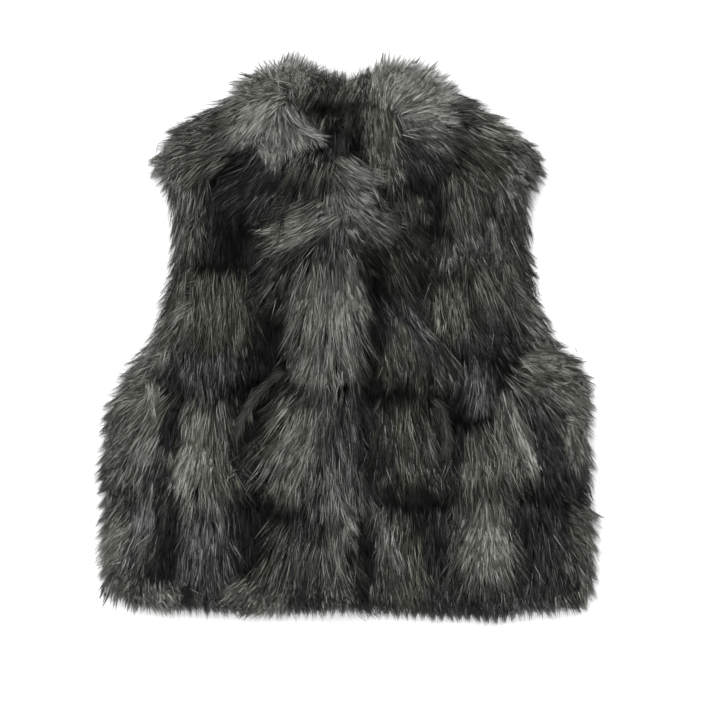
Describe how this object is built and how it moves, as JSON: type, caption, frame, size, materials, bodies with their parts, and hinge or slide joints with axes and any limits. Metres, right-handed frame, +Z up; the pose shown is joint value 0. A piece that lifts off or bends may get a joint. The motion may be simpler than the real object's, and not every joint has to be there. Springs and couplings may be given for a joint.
{
  "type": "faux fur vest",
  "caption": "Short sleeveless faux fur vest laid flat, one front lapped over the other, with a full fur collar and slanted pockets.",
  "frame": {"origin": "under the middle of the vest's outline, on the surface that it lies on", "axes": "+X across the vest towards the wearer's left side, +Y along its length towards the collar, +Z up from the surface that it lies on"},
  "size_m": [0.5018, 0.5608, 0.066],
  "materials": {
    "fur_back": "long matt pile, charcoal",
    "fur_front": "long pile with a soft sheen, charcoal at the roots and olive grey at the tips",
    "fur_collar": "long pile with a soft sheen, light olive grey",
    "fur_pocket": "shorter pile along the pocket mouth, olive grey"
  },
  "bodies": {
    "root": {"back": "fur_back", "front_right": "fur_front", "front_left": "fur_front", "collar": "fur_collar", "pocket_edge_right": "fur_pocket", "pocket_edge_left": "fur_pocket"}
  },
  "joints": []
}
